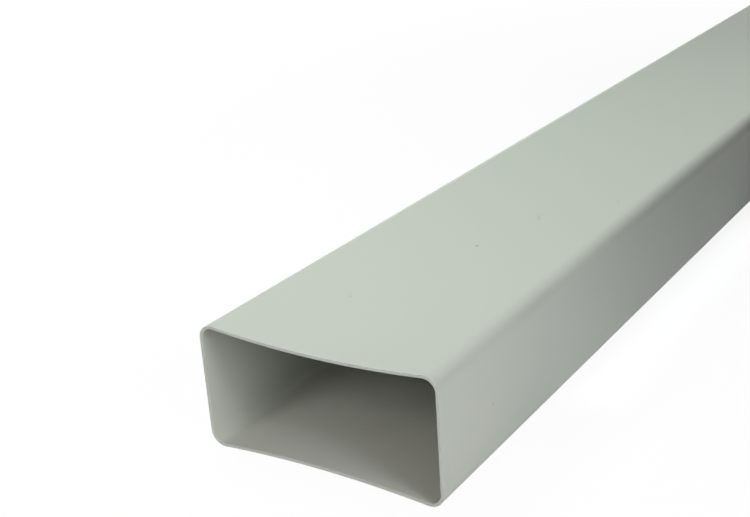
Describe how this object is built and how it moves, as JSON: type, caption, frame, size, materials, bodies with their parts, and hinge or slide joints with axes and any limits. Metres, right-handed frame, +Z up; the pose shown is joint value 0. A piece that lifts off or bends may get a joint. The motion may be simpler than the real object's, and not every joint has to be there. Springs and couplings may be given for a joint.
{
  "type": "flat channel duct",
  "caption": "Straight rectangular ventilation duct, a thin-walled light grey PVC extrusion with round corners, slightly hollow wide walls and open square-cut ends.",
  "frame": {"origin": "on the floor, under the middle of the duct", "axes": "+Y along the duct, +X across its wide side, +Z up from the floor it lies on"},
  "size_m": [0.11, 1, 0.054],
  "materials": {
    "grey_pvc": "satin"
  },
  "bodies": {
    "root": {"channel_duct": "grey_pvc"}
  },
  "joints": []
}
